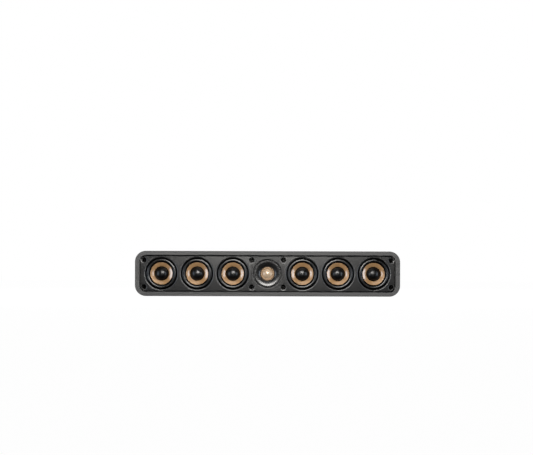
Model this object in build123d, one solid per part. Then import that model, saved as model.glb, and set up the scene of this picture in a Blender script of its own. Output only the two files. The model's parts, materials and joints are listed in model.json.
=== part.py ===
from build123d import *
import os
from math import asin, cos, hypot, pi, sin, sqrt

# Slim center channel speaker: six woofers either side of a dome tweeter.
# The front faces -Y, +X is to the listener's right and +Z is up. The origin lies on the base,
# under the middle of the cabinet. All sizes are in millimetres.

# Cabinet
CABINET_WIDTH = 610.0
CABINET_HEIGHT = 104.0
CABINET_DEPTH = 150.0
CORNER_RADIUS = 25.0  # the four long corners of the wrap
WALL = 10.0
EDGE_ROUND = 1.2  # front and rear outer edges of the wrap
RIM_ROUND = 1.2  # inner edge of the front rim
GLUE_GAP = 0.1  # room left for glue round a piece that is set in

# Screws. The wood screw is used for the drivers, the terminal cup, the hangers and the crossover.
WOOD_HEAD_RADIUS = 3.0
WOOD_HEAD_HEIGHT = 2.0
WOOD_SHANK_RADIUS = 1.5
WOOD_SCREW_LENGTH = 9.0
TRIM_HEAD_RADIUS = 3.6
TRIM_HEAD_HEIGHT = 2.4
TRIM_SHANK_RADIUS = 1.75
SCREW_TIP = 2.0
SCREW_HOLE_CLEARANCE = 0.3  # holes that a screw passes through
PILOT_CLEARANCE = 0.05  # holes that a screw bites into
CROSS_WIDTH = 0.9
CROSS_DEPTH = 1.2
HEAD_CLEARANCE = 0.2

# Front trim panels
TRIM_RECESS = 5.0  # behind the front rim
TRIM_GAP = 2.0
TRIM_THICKNESS = 4.0
TRIM_EDGE = 0.6
CENTER_TRIM_WIDTH = 73.2
SEAM_GAP = 0.5
OPENING_ROUND = 2.0  # edge of each woofer opening
LIP_WIDTH = 1.2  # ring under each opening that presses on the surround
CUP_RADIUS = 6.4  # moulded cup that holds a trim screw
CUP_BORE = 5.7
CUP_BREAK = 0.5
CUP_DEPTH = 7.0
CUP_FLOOR = 1.5
CUP_CLEARANCE = 0.3
CORNER_SCREW_INSET = 8.3  # from the ends of the trim
SCREW_ROW_Z = 31.0  # above and below the middle

# Baffle board behind the trim
BOARD_THICKNESS = 12.0
DRIVER_CLEARANCE = 0.4  # pockets and holes round the drivers

# Woofer
WOOFER_SEAM_INSET = 43.6  # first woofer's middle from the seam
WOOFER_END_INSET = 60.1  # last woofer's middle from the end of the cabinet
WOOFER_LAND = 1.5  # least board left between two woofers
FLANGE_RADIUS = 38.8
FLANGE_THICKNESS = 1.5
EAR_OFFSET = 29.3
EAR_RADIUS = 4.0
SHEET = 1.2
MOUTH_RADIUS = 33.0
LEDGE_OUTER_RADIUS = 27.0
LEDGE_INNER_RADIUS = 22.0
LEDGE_DROP = 13.8
PLATE_RADIUS = 20.5
PLATE_DROP = 7.0
WINDOWS = 6
WINDOW_WIDTH = 17.0
WINDOW_MARGIN = 1.5
LUG_WIDTH = 8.0
LUG_REACH = 31.0

# Woofer moving parts
SURROUND_THICKNESS = 0.8
SURROUND_INNER_RADIUS = 25.6
ROLL_INNER_RADIUS = 27.4
ROLL_OUTER_RADIUS = 35.0
SURROUND_OUTER_RADIUS = 37.6
SURROUND_CLEARANCE = 1.4  # between the surround's outer roll and the trim opening
CONE_THICKNESS = 0.75
CONE_EDGE_RADIUS = 25.2
CONE_LIP_RADIUS = 26.9
CONE_WAIST_RADIUS = 16.6
CONE_WAIST_DROP = 5.2
CONE_NECK_DROP = 11.8
CAP_RADIUS = 16.7
CAP_RISE = 7.6
CAP_THICKNESS = 0.6
COIL_RADIUS = 10.0
FORMER_THICKNESS = 0.25
FORMER_RISE = 0.8  # above the cone's neck
WINDING_THICKNESS = 0.45
WINDING_LENGTH = 5.6
FORMER_TAIL = 1.0
SPIDER_THICKNESS = 0.5
SPIDER_OUTER_RADIUS = 26.4
SPIDER_ROLLS = 5
SPIDER_ROLL_WIDTH = 2.2
SPIDER_FIRST_ROLL = 12.0

# Woofer motor
COIL_CLEARANCE = 0.4
TOP_PLATE_RADIUS = 26.0
TOP_PLATE_THICKNESS = 4.0
MAGNET_RADIUS = 27.5
MAGNET_BORE = 14.0
MAGNET_THICKNESS = 12.0
YOKE_RADIUS = 26.0
YOKE_THICKNESS = 4.0
POLE_VENT_RADIUS = 3.0

# Tweeter
FACEPLATE_RADIUS = 30.9
FACEPLATE_GAP = 1.8
FACEPLATE_EDGE = 0.6
FACEPLATE_FLANGE_RADIUS = 39.0
FACEPLATE_FLANGE_THICKNESS = 2.0
FACEPLATE_WALL = 2.5
FACEPLATE_SCREW_RADIUS = 35.7
HORN_MOUTH_RADIUS = 26.6
HORN_THROAT_RADIUS = 15.8
HORN_FLARE_RADIUS = 16.4  # curve of the flare, level at the mouth
HORN_LIP_RADIUS = 17.7  # where the flare turns down into the throat
DOME_RADIUS = 11.9
DOME_RISE = 5.2
DOME_THICKNESS = 0.4
DOME_FLANGE_RADIUS = 19.5
TWEETER_COIL_RADIUS = 11.5
TWEETER_COIL_LENGTH = 3.6
TWEETER_TOP_PLATE_RADIUS = 24.0
TWEETER_TOP_PLATE_THICKNESS = 3.0
TWEETER_MAGNET_RADIUS = 25.0
TWEETER_MAGNET_BORE = 16.0
TWEETER_MAGNET_THICKNESS = 10.0
TWEETER_YOKE_THICKNESS = 3.0

# Back of the cabinet
REAR_INSET = 2.5
REAR_THICKNESS = 12.0
PORT_X = 150.0
PORT_RADIUS = 16.0
PORT_WALL = 2.0
PORT_FLARE = 6.0
PORT_FLANGE_RADIUS = 26.0
PORT_FLANGE_THICKNESS = 2.5
PORT_LENGTH = 60.0
FIT_CLEARANCE = 0.25  # flanges and plates let into the rear panel
TERMINAL_WIDTH = 62.0
TERMINAL_HEIGHT = 46.0
TERMINAL_RADIUS = 8.0
TERMINAL_WALL = 2.0
TERMINAL_DEPTH = 22.0
TERMINAL_FLOOR = 2.5
TERMINAL_DRAFT = 2.0  # how much each wall leans in on its way to the floor
TERMINAL_FLANGE = 10.0
TERMINAL_FLANGE_THICKNESS = 2.0
TERMINAL_SCREW_INSET = 6.0

# Binding posts
POST_SPACING = 19.05
STUD_RADIUS = 3.0
STUD_LENGTH = 30.0
STUD_CLEARANCE = 0.1
COLLAR_RADIUS = 6.0
COLLAR_THICKNESS = 3.0
BANANA_RADIUS = 2.0
BANANA_DEPTH = 10.0
WIRE_HOLE_RADIUS = 1.6
WIRE_HOLE_RISE = 2.2
NUT_RADIUS = 5.5
NUT_THICKNESS = 3.5
CAP_KNOB_RADIUS = 7.0
CAP_KNOB_LENGTH = 16.2
CAP_KNOB_RUNNING = 0.05
CAP_KNOB_GAP = 0.3
CAP_KNOB_BREAK = 0.8
CAP_FLUTES = 14
CAP_FLUTE_RADIUS = 0.8
STUD_SUNK = 1.0  # end of the stud inside the cap

# Wall hangers
HANGER_SPACING = 406.4
HANGER_RISE = 10.0
HANGER_WIDTH = 22.0
HANGER_HEIGHT = 46.0
HANGER_THICKNESS = 2.0
HANGER_SCREW_OFFSET = 17.5
KEYHOLE_ENTRY_RADIUS = 4.75
KEYHOLE_SLOT_RADIUS = 2.5
KEYHOLE_TRAVEL = 13.0
KEYHOLE_POCKET_DEPTH = 6.5
KEYHOLE_POCKET_MARGIN = 1.5

# Crossover and inside
CROSSOVER_WIDTH = 110.0
CROSSOVER_DEPTH = 60.0
CROSSOVER_THICKNESS = 3.0
CROSSOVER_REAR_GAP = 18.5  # from the rear panel
CROSSOVER_SCREW_INSET = 5.0
COIL_BOBBIN_X = 32.0
COIL_BOBBIN_RADIUS = 15.0
COIL_BOBBIN_BORE = 6.0
COIL_BOBBIN_HEIGHT = 16.0
CAPACITOR_RADIUS = 8.0
CAPACITOR_LENGTH = 28.0
CAPACITOR_PITCH = 19.0
CAPACITOR_EDGE = 1.0
LEAD_RADIUS = 1.5
LEAD_REST = 0.05  # above the cabinet floor
LEAD_LANE_PITCH = 14.0
LEAD_BEND = 12.0
LEAD_RISE_BEND = 6.0
INPUT_LEAD_RUN = 6.0  # straight back from the posts
WADDING_PORT_GAP = 16.0
WADDING_END_GAP = 13.5
WADDING_HEIGHT = 74.0
WADDING_THICKNESS = 26.0
WADDING_RADIUS = 10.0

# Derived sizes
MID_Z = CABINET_HEIGHT / 2
TRIM_FRONT_Y = TRIM_RECESS - CABINET_DEPTH / 2
REAR_FACE_Y = CABINET_DEPTH / 2 - REAR_INSET
INNER_WIDTH = CABINET_WIDTH - 2 * WALL
INNER_HEIGHT = CABINET_HEIGHT - 2 * WALL
INNER_RADIUS = CORNER_RADIUS - WALL
TRIM_WIDTH = INNER_WIDTH - 2 * TRIM_GAP
TRIM_HEIGHT = INNER_HEIGHT - 2 * TRIM_GAP
TRIM_RADIUS = INNER_RADIUS - TRIM_GAP
SEAM_X = CENTER_TRIM_WIDTH / 2
CORNER_SCREW_X = TRIM_WIDTH / 2 - CORNER_SCREW_INSET
TRIM_SCREW_XS = (-CORNER_SCREW_X, -SEAM_X, SEAM_X, CORNER_SCREW_X)
TRIM_SCREW_SPOTS = [(x, z) for x in TRIM_SCREW_XS for z in (-SCREW_ROW_Z, SCREW_ROW_Z)]
FIRST_WOOFER_X = SEAM_X + WOOFER_SEAM_INSET
WOOFER_ROW = CABINET_WIDTH / 2 - WOOFER_END_INSET - FIRST_WOOFER_X
WOOFER_STEPS = max(1, int(WOOFER_ROW / (2 * (FLANGE_RADIUS + DRIVER_CLEARANCE) + WOOFER_LAND)))
RIGHT_WOOFERS = [FIRST_WOOFER_X + i * WOOFER_ROW / WOOFER_STEPS for i in range(WOOFER_STEPS + 1)]
WOOFER_XS = [-x for x in reversed(RIGHT_WOOFERS)] + RIGHT_WOOFERS

# Heights in the driver frame: zero on the trim's face, negative towards the back of the cabinet
BOARD_FRONT = -TRIM_THICKNESS
BOARD_BACK = BOARD_FRONT - BOARD_THICKNESS
SEAT = BOARD_FRONT - WOOD_HEAD_HEIGHT - HEAD_CLEARANCE
FLANGE_BACK = SEAT - FLANGE_THICKNESS
LEDGE = SEAT - LEDGE_DROP
PLATE = LEDGE - PLATE_DROP
MOTOR_FRONT = PLATE - SHEET
MAGNET_FRONT = MOTOR_FRONT - TOP_PLATE_THICKNESS
YOKE_FRONT = MAGNET_FRONT - MAGNET_THICKNESS
YOKE_BACK = YOKE_FRONT - YOKE_THICKNESS
NECK = SEAT - CONE_NECK_DROP
FORMER_OUTER = COIL_RADIUS + FORMER_THICKNESS
WINDING_OUTER = FORMER_OUTER + WINDING_THICKNESS
GAP_OUTER = WINDING_OUTER + COIL_CLEARANCE
OPENING_RADIUS = ROLL_OUTER_RADIUS + SURROUND_THICKNESS / 2 + SURROUND_CLEARANCE
LIP_BOTTOM = SEAT + SURROUND_THICKNESS
CUP_BOTTOM = -CUP_DEPTH - CUP_FLOOR
TRIM_SCREW_LENGTH = -BOARD_BACK - CUP_DEPTH - HEAD_CLEARANCE
FACEPLATE_BACK = SEAT - FACEPLATE_FLANGE_THICKNESS
TWEETER_PLATE = FACEPLATE_BACK - DOME_THICKNESS
TWEETER_MAGNET = TWEETER_PLATE - TWEETER_TOP_PLATE_THICKNESS
TWEETER_YOKE = TWEETER_MAGNET - TWEETER_MAGNET_THICKNESS
TWEETER_BACK = TWEETER_YOKE - TWEETER_YOKE_THICKNESS
TWEETER_FORMER_OUTER = TWEETER_COIL_RADIUS + DOME_THICKNESS
TWEETER_GAP_OUTER = TWEETER_FORMER_OUTER + COIL_CLEARANCE

# Heights in the rear frame: zero on the rear panel's face, negative towards the front
TERMINAL_BASE = -TERMINAL_DEPTH
STUD_END = TERMINAL_BASE + COLLAR_THICKNESS + CAP_KNOB_GAP + CAP_KNOB_LENGTH - STUD_SUNK
STUD_TAIL = STUD_END - STUD_LENGTH
KNOB_BASE = TERMINAL_BASE + COLLAR_THICKNESS + CAP_KNOB_GAP
REAR_INSIDE_Y = REAR_FACE_Y - REAR_THICKNESS
CROSSOVER_Y = REAR_INSIDE_Y - CROSSOVER_REAR_GAP - CROSSOVER_DEPTH / 2
CROSSOVER_TOP = WALL + CROSSOVER_THICKNESS
PORT_TUBE_REACH = PORT_X + PORT_RADIUS + PORT_FLARE + PORT_WALL
WADDING_LENGTH = INNER_WIDTH / 2 - WADDING_END_GAP - PORT_TUBE_REACH - WADDING_PORT_GAP
WADDING_X = PORT_TUBE_REACH + WADDING_PORT_GAP + WADDING_LENGTH / 2
KEYHOLE_ENTRY_Z = HANGER_RISE - KEYHOLE_TRAVEL / 2
KEYHOLE_END_Z = HANGER_RISE + KEYHOLE_TRAVEL / 2

FRONT = Plane(origin=(0, TRIM_FRONT_Y, MID_Z), x_dir=(1, 0, 0), z_dir=(0, -1, 0)).location
REAR = Plane(origin=(0, REAR_FACE_Y, MID_Z), x_dir=(-1, 0, 0), z_dir=(0, 1, 0)).location


def prism(outline, top, bottom):
    """Upright solid of a flat outline between two heights."""
    return Pos(0, 0, bottom) * extrude(outline, top - bottom)


def turned(face):
    """Solid turned about Z from a flat face drawn as radius and height."""
    return revolve(Plane.XZ * face, Axis.Z)


def turned_points(*points):
    """Solid turned about Z from a closed chain of radius and height points."""
    return turned(make_face(Polyline(*points, close=True)))


def joined(first, others):
    """One solid: the first with all the others added."""
    return first.fuse(*others) if others else first


def pan_screw(head_radius, head_height, shank_radius, length):
    """Cross-head screw seated at height zero, head up."""
    crown = head_height / 2
    body = turned_points(
        (0, head_height),
        (head_radius - crown, head_height),
        (head_radius, crown),
        (head_radius, 0),
        (shank_radius, 0),
        (shank_radius, SCREW_TIP - length),
        (0, -length),
    )
    for angle in (0, 90):
        slot = Box(head_radius, CROSS_WIDTH, 2 * CROSS_DEPTH)
        body -= Pos(0, 0, head_height) * Rot(0, 0, angle) * slot
    return body


def cabinet_shell():
    """Wrapped cabinet: a rounded tube, open at both ends."""
    outer = prism(RectangleRounded(CABINET_WIDTH, CABINET_HEIGHT, CORNER_RADIUS), TRIM_RECESS,
                  TRIM_RECESS - CABINET_DEPTH)
    ends = outer.edges().group_by(Axis.Z)
    outer = fillet(ends[0] + ends[-1], EDGE_ROUND)
    inner = prism(RectangleRounded(INNER_WIDTH, INNER_HEIGHT, INNER_RADIUS), TRIM_RECESS,
                  TRIM_RECESS - CABINET_DEPTH)
    shell = outer - inner
    rim = shell.faces().sort_by(Axis.Z)[-1].inner_wires()[0].edges()
    shell = FRONT * fillet(rim, RIM_ROUND)
    pilot = Cylinder(WOOD_SHANK_RADIUS + PILOT_CLEARANCE, 2 * WOOD_SCREW_LENGTH)
    floor_bite = WOOD_SCREW_LENGTH - CROSSOVER_THICKNESS
    for x, y in crossover_screw_spots():
        shell -= Pos(x, y, WALL - floor_bite + WOOD_SCREW_LENGTH) * pilot
    return shell


def quarter_point(center, radius, angle):
    """Point of a convex edge about its center; angle zero is level with the front."""
    return (center[0] - radius * sin(angle), center[1] + radius * cos(angle))


def opening_cut():
    """Hole of a woofer in the trim, with a rounded edge."""
    bore = OPENING_RADIUS
    bottom = LIP_BOTTOM - SURROUND_THICKNESS
    center = (bore + OPENING_ROUND, -OPENING_ROUND)
    edge = ThreePointArc(*[quarter_point(center, OPENING_ROUND, turn) for turn in (0, pi / 4, pi / 2)])
    rest = Polyline(edge @ 1, (bore, bottom), (0, bottom), (0, OPENING_ROUND), (center[0], OPENING_ROUND), edge @ 0)
    return turned(make_face(edge.edges() + rest.edges()))


def screw_cup_cut():
    """Counterbore of a trim screw, with a broken edge."""
    return turned_points(
        (0, CUP_BREAK),
        (CUP_BORE + 2 * CUP_BREAK, CUP_BREAK),
        (CUP_BORE, -CUP_BREAK),
        (CUP_BORE, -CUP_DEPTH),
        (TRIM_SHANK_RADIUS + SCREW_HOLE_CLEARANCE, -CUP_DEPTH),
        (TRIM_SHANK_RADIUS + SCREW_HOLE_CLEARANCE, CUP_BOTTOM),
        (0, CUP_BOTTOM),
    )


def trim_panels():
    """Left, center and right trim panels, cut from one plate along the two seams."""
    plate = prism(RectangleRounded(TRIM_WIDTH, TRIM_HEIGHT, TRIM_RADIUS), 0, -TRIM_THICKNESS)
    plate = chamfer(plate.edges().group_by(Axis.Z)[-1], TRIM_EDGE)
    lip = prism(Circle(OPENING_RADIUS + LIP_WIDTH), BOARD_FRONT, LIP_BOTTOM)
    cup = prism(Circle(CUP_RADIUS), BOARD_FRONT, CUP_BOTTOM)
    additions = [Pos(x, 0) * lip for x in WOOFER_XS]
    additions += [Pos(x, z) * cup for x, z in TRIM_SCREW_SPOTS]
    plate = joined(plate, additions)
    cuts = [Pos(x, 0) * opening_cut() for x in WOOFER_XS]
    cuts += [Pos(x, z) * screw_cup_cut() for x, z in TRIM_SCREW_SPOTS]
    cuts.append(prism(Circle(FACEPLATE_RADIUS + FACEPLATE_GAP), TRIM_THICKNESS, CUP_BOTTOM))
    plate = plate.cut(*cuts)
    center = Box(CENTER_TRIM_WIDTH - SEAM_GAP, TRIM_HEIGHT, 2 * (CUP_DEPTH + CUP_FLOOR))
    side_width = CABINET_WIDTH - SEAM_X - SEAM_GAP / 2
    side = Box(side_width, TRIM_HEIGHT, 2 * (CUP_DEPTH + CUP_FLOOR))
    side_x = SEAM_X + SEAM_GAP / 2 + side_width / 2
    return plate & Pos(-side_x, 0) * side, plate & center, plate & Pos(side_x, 0) * side


def flange_outline(grow=0.0):
    """Round flange with four ears."""
    square = 2 * (EAR_OFFSET + EAR_RADIUS + grow)
    return Circle(FLANGE_RADIUS + grow) + RectangleRounded(square, square, EAR_RADIUS + grow)


def ear_spots():
    """Screw positions of one woofer about its middle."""
    return [(i * EAR_OFFSET, j * EAR_OFFSET) for i in (-1, 1) for j in (-1, 1)]


def faceplate_screw_spots():
    """Screw positions of the tweeter about its middle."""
    reach = FACEPLATE_SCREW_RADIUS
    return [(reach, 0), (0, reach), (-reach, 0), (0, -reach)]


def set_in_outline():
    """Outline of a board that is glued inside the wrap."""
    width = INNER_WIDTH - 2 * GLUE_GAP
    height = INNER_HEIGHT - 2 * GLUE_GAP
    return RectangleRounded(width, height, INNER_RADIUS - GLUE_GAP)


def baffle_board():
    """Board that carries the seven drivers, pocketed for their flanges."""
    board = prism(set_in_outline(), BOARD_FRONT, BOARD_BACK)
    woofer_pocket = prism(flange_outline(DRIVER_CLEARANCE), BOARD_FRONT, FLANGE_BACK)
    woofer_hole = prism(Circle(MOUTH_RADIUS + SHEET + DRIVER_CLEARANCE), FLANGE_BACK, BOARD_BACK)
    pilot = prism(Circle(WOOD_SHANK_RADIUS + PILOT_CLEARANCE), FLANGE_BACK, BOARD_BACK)
    cuts = []
    for x in WOOFER_XS:
        cuts += [Pos(x, 0) * woofer_pocket, Pos(x, 0) * woofer_hole]
        cuts += [Pos(x + dx, dz) * pilot for dx, dz in ear_spots()]
    cuts.append(prism(Circle(FACEPLATE_FLANGE_RADIUS + DRIVER_CLEARANCE), BOARD_FRONT, FACEPLATE_BACK))
    cuts.append(prism(Circle(TWEETER_MAGNET_RADIUS + DRIVER_CLEARANCE), FACEPLATE_BACK, BOARD_BACK))
    cuts += [Pos(dx, dz) * pilot for dx, dz in faceplate_screw_spots()]
    cup_pocket = prism(Circle(CUP_RADIUS + CUP_CLEARANCE), BOARD_FRONT, CUP_BOTTOM)
    cup_pilot = prism(Circle(TRIM_SHANK_RADIUS + PILOT_CLEARANCE), CUP_BOTTOM, BOARD_BACK)
    for x, z in TRIM_SCREW_SPOTS:
        cuts += [Pos(x, z) * cup_pocket, Pos(x, z) * cup_pilot]
    return board.cut(*cuts)


def woofer_basket():
    """Pressed steel basket: eared flange, windowed wall, spider ledge and motor plate."""
    wall = turned_points(
        (MOUTH_RADIUS, SEAT),
        (LEDGE_OUTER_RADIUS, LEDGE),
        (LEDGE_INNER_RADIUS, LEDGE),
        (PLATE_RADIUS, PLATE),
        (GAP_OUTER, PLATE),
        (GAP_OUTER, MOTOR_FRONT),
        (PLATE_RADIUS + SHEET, MOTOR_FRONT),
        (LEDGE_INNER_RADIUS + SHEET, LEDGE - SHEET),
        (LEDGE_OUTER_RADIUS + SHEET, LEDGE - SHEET),
        (MOUTH_RADIUS + SHEET, SEAT),
    )
    flange = prism(flange_outline() - Circle(MOUTH_RADIUS + SHEET / 2), SEAT, FLANGE_BACK)
    lug_length = LUG_REACH - PLATE_RADIUS
    lug = Box(LUG_WIDTH, lug_length, SHEET)
    lug = Pos(0, -PLATE_RADIUS - lug_length / 2, PLATE - SHEET / 2) * lug
    top = FLANGE_BACK - WINDOW_MARGIN
    bottom = LEDGE + WINDOW_MARGIN
    window = Box(LEDGE_OUTER_RADIUS, WINDOW_WIDTH, top - bottom)
    window = Pos(LEDGE_OUTER_RADIUS, 0, (top + bottom) / 2) * window
    cuts = [Rot(0, 0, i * 360 / WINDOWS) * window for i in range(WINDOWS)]
    hole = prism(Circle(WOOD_SHANK_RADIUS + SCREW_HOLE_CLEARANCE), SEAT, FLANGE_BACK)
    cuts += [Pos(x, y) * hole for x, y in ear_spots()]
    return joined(wall, [flange, lug]).cut(*cuts)


def woofer_surround():
    """Half-roll rubber edge between the cone's lip and the basket's flange."""
    half = (ROLL_OUTER_RADIUS - ROLL_INNER_RADIUS) / 2
    outer = half + SURROUND_THICKNESS / 2
    inner = half - SURROUND_THICKNESS / 2
    roll = Circle(outer) - Circle(inner)
    roll = Pos(ROLL_INNER_RADIUS + half, SEAT) * (roll & Pos(0, outer / 2) * Rectangle(2 * outer, outer))
    height = SEAT + SURROUND_THICKNESS / 2
    inner_width = ROLL_INNER_RADIUS - SURROUND_INNER_RADIUS
    outer_width = SURROUND_OUTER_RADIUS - ROLL_OUTER_RADIUS
    inner_flat = Rectangle(inner_width, SURROUND_THICKNESS)
    outer_flat = Rectangle(outer_width, SURROUND_THICKNESS)
    face = roll + Pos(SURROUND_INNER_RADIUS + inner_width / 2, height) * inner_flat
    return turned(face + Pos(ROLL_OUTER_RADIUS + outer_width / 2, height) * outer_flat)


def arc_center(first, second, third):
    """Middle of the circle through three points."""
    (ax, ay), (bx, by), (cx, cy) = first, second, third
    scale = 2 * (ax * (by - cy) + bx * (cy - ay) + cx * (ay - by))
    a, b, c = ax * ax + ay * ay, bx * bx + by * by, cx * cx + cy * cy
    x = (a * (by - cy) + b * (cy - ay) + c * (ay - by)) / scale
    y = (a * (cx - bx) + b * (ax - cx) + c * (bx - ax)) / scale
    return x, y


CONE_NECK_RADIUS = FORMER_OUTER + GLUE_GAP
CONE_WAIST = SEAT - CONE_WAIST_DROP
CONE_ARC = ((CONE_EDGE_RADIUS, SEAT), (CONE_WAIST_RADIUS, CONE_WAIST), (CONE_NECK_RADIUS, NECK))


def cone_height(radius):
    """Height of the cone's front face at a radius."""
    middle_r, middle_z = arc_center(*CONE_ARC)
    reach = hypot(CONE_EDGE_RADIUS - middle_r, SEAT - middle_z)
    return middle_z + sqrt(reach**2 - (radius - middle_r) ** 2)


def woofer_cone():
    """Flared cone with a flat lip that the surround is glued to."""
    edge, waist, neck = CONE_ARC
    drop = -CONE_THICKNESS
    lines = [
        ThreePointArc(edge, waist, neck),
        Line(neck, (neck[0], neck[1] + drop)),
        ThreePointArc((neck[0], neck[1] + drop), (waist[0], waist[1] + drop), (edge[0], edge[1] + drop)),
        Polyline((edge[0], edge[1] + drop), (CONE_LIP_RADIUS, SEAT + drop), (CONE_LIP_RADIUS, SEAT), edge),
    ]
    return turned(make_face([e for line in lines for e in line.edges()]))


def dome_arc(base_radius, base, rise):
    """Arc of a shallow dome from its edge to its top, drawn as radius and height."""
    ball = (base_radius**2 + rise**2) / (2 * rise)
    half_angle = asin(base_radius / ball) / 2
    middle = (ball * sin(half_angle), base + rise - ball + ball * cos(half_angle))
    return ThreePointArc((base_radius, base), middle, (0, base + rise))


def woofer_dust_cap():
    """Domed cap over the voice coil, glued on the cone's face."""
    base = cone_height(CAP_RADIUS) + GLUE_GAP
    inner_radius = CAP_RADIUS - CAP_THICKNESS
    outer = dome_arc(CAP_RADIUS, base, CAP_RISE)
    inner = dome_arc(inner_radius, base, CAP_RISE - CAP_THICKNESS)
    foot = Line((CAP_RADIUS, base), (inner_radius, base))
    middle = Line((0, base + CAP_RISE), (0, base + CAP_RISE - CAP_THICKNESS))
    return turned(make_face(outer.edges() + middle.edges() + inner.edges() + foot.edges()))


def woofer_spider():
    """Corrugated cloth ring that centers the voice coil."""
    height = LEDGE + SPIDER_THICKNESS / 2
    half = SPIDER_ROLL_WIDTH / 2
    outer = half + SPIDER_THICKNESS / 2
    ring = Circle(outer) - Circle(half - SPIDER_THICKNESS / 2)
    first = SPIDER_FIRST_ROLL
    last = first + SPIDER_ROLLS * SPIDER_ROLL_WIDTH
    inner_radius = FORMER_OUTER + GLUE_GAP
    overlap = SPIDER_THICKNESS / 2
    inner_width = first + overlap - inner_radius
    outer_width = SPIDER_OUTER_RADIUS - last + overlap
    face = Pos(inner_radius + inner_width / 2, height) * Rectangle(inner_width, SPIDER_THICKNESS)
    face += Pos(SPIDER_OUTER_RADIUS - outer_width / 2, height) * Rectangle(outer_width, SPIDER_THICKNESS)
    for i in range(SPIDER_ROLLS):
        side = 1 if i % 2 == 0 else -1
        half_ring = ring & Pos(0, side * outer / 2) * Rectangle(2 * outer, outer)
        face += Pos(first + (i + 1 / 2) * SPIDER_ROLL_WIDTH, height) * half_ring
    return turned(face)


def woofer_voice_coil():
    """Former with its winding, centered in the magnet gap."""
    winding_top = MOTOR_FRONT - TOP_PLATE_THICKNESS / 2 + WINDING_LENGTH / 2
    winding_bottom = winding_top - WINDING_LENGTH
    return turned_points(
        (COIL_RADIUS, NECK + FORMER_RISE),
        (FORMER_OUTER, NECK + FORMER_RISE),
        (FORMER_OUTER, winding_top),
        (WINDING_OUTER, winding_top),
        (WINDING_OUTER, winding_bottom),
        (FORMER_OUTER, winding_bottom),
        (FORMER_OUTER, winding_bottom - FORMER_TAIL),
        (COIL_RADIUS, winding_bottom - FORMER_TAIL),
    )


def woofer_motor():
    """Top plate, ring magnet and vented pole yoke of one woofer."""
    pole = COIL_RADIUS - COIL_CLEARANCE
    top_plate = prism(Circle(TOP_PLATE_RADIUS) - Circle(GAP_OUTER), MOTOR_FRONT, MAGNET_FRONT)
    magnet = prism(Circle(MAGNET_RADIUS) - Circle(MAGNET_BORE), MAGNET_FRONT, YOKE_FRONT)
    yoke = turned_points(
        (POLE_VENT_RADIUS, MOTOR_FRONT),
        (pole, MOTOR_FRONT),
        (pole, YOKE_FRONT),
        (YOKE_RADIUS, YOKE_FRONT),
        (YOKE_RADIUS, YOKE_BACK),
        (POLE_VENT_RADIUS, YOKE_BACK),
    )
    return [top_plate, magnet, yoke]


def tweeter_faceplate():
    """Round plate with a flared waveguide, hollowed behind, on a flange under the trim."""
    lean = asin((HORN_MOUTH_RADIUS - HORN_LIP_RADIUS) / HORN_FLARE_RADIUS)
    flare_center = (HORN_MOUTH_RADIUS, -HORN_FLARE_RADIUS)
    turns = (0, lean / 2, lean)
    flare = ThreePointArc(*[quarter_point(flare_center, HORN_FLARE_RADIUS, turn) for turn in turns])
    lip_round = (HORN_LIP_RADIUS - HORN_THROAT_RADIUS) / (1 - sin(lean))
    lip_drop = HORN_FLARE_RADIUS * (1 - cos(lean)) + lip_round * cos(lean)
    lip_center = (HORN_THROAT_RADIUS + lip_round, -lip_drop)
    turns = (lean, (lean + pi / 2) / 2, pi / 2)
    throat = ThreePointArc(*[quarter_point(lip_center, lip_round, turn) for turn in turns])
    outside = Polyline(
        (HORN_THROAT_RADIUS, -lip_drop),
        (HORN_THROAT_RADIUS, FACEPLATE_BACK),
        (FACEPLATE_FLANGE_RADIUS, FACEPLATE_BACK),
        (FACEPLATE_FLANGE_RADIUS, SEAT),
        (FACEPLATE_RADIUS, SEAT),
        (FACEPLATE_RADIUS, -FACEPLATE_EDGE),
        (FACEPLATE_RADIUS - FACEPLATE_EDGE, 0),
        (HORN_MOUTH_RADIUS, 0),
    )
    plate = turned(make_face(flare.edges() + throat.edges() + outside.edges()))
    hollow_outer = FACEPLATE_RADIUS - FACEPLATE_WALL
    hollow = Circle(hollow_outer) - Circle(TWEETER_TOP_PLATE_RADIUS)
    plate -= prism(hollow, -FACEPLATE_WALL, FACEPLATE_BACK)
    hole = prism(Circle(WOOD_SHANK_RADIUS + SCREW_HOLE_CLEARANCE), SEAT, FACEPLATE_BACK)
    return plate.cut(*[Pos(x, y) * hole for x, y in faceplate_screw_spots()])


def tweeter_dome():
    """Thin diaphragm: dome, small roll edge, clamped rim and coil former in one piece."""
    base = FACEPLATE_BACK - DOME_THICKNESS / 2
    top = base + DOME_THICKNESS / 2
    bottom = base - DOME_THICKNESS / 2
    outer_arc = dome_arc(DOME_RADIUS, base, DOME_RISE)
    inner_arc = dome_arc(DOME_RADIUS - DOME_THICKNESS, base, DOME_RISE - DOME_THICKNESS)
    dome = make_face(
        outer_arc.edges()
        + Line((0, base + DOME_RISE), (0, base + DOME_RISE - DOME_THICKNESS)).edges()
        + inner_arc.edges()
        + Line((DOME_RADIUS - DOME_THICKNESS, base), (DOME_RADIUS, base)).edges()
    )
    roll_inner = DOME_RADIUS - DOME_THICKNESS / 2
    roll_outer = HORN_THROAT_RADIUS - DOME_THICKNESS
    half = (roll_outer - roll_inner) / 2
    outer = half + DOME_THICKNESS / 2
    roll = Circle(outer) - Circle(half - DOME_THICKNESS / 2)
    roll = roll & Pos(0, outer / 2) * Rectangle(2 * outer, outer)
    rim_width = DOME_FLANGE_RADIUS - roll_outer + DOME_THICKNESS / 2
    rim = Pos(DOME_FLANGE_RADIUS - rim_width / 2, base) * Rectangle(rim_width, top - bottom)
    former = Rectangle(DOME_THICKNESS, TWEETER_COIL_LENGTH)
    former = Pos(TWEETER_COIL_RADIUS + DOME_THICKNESS / 2, base - TWEETER_COIL_LENGTH / 2) * former
    return turned(dome + Pos(roll_inner + half, base) * roll + rim + former)


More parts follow.
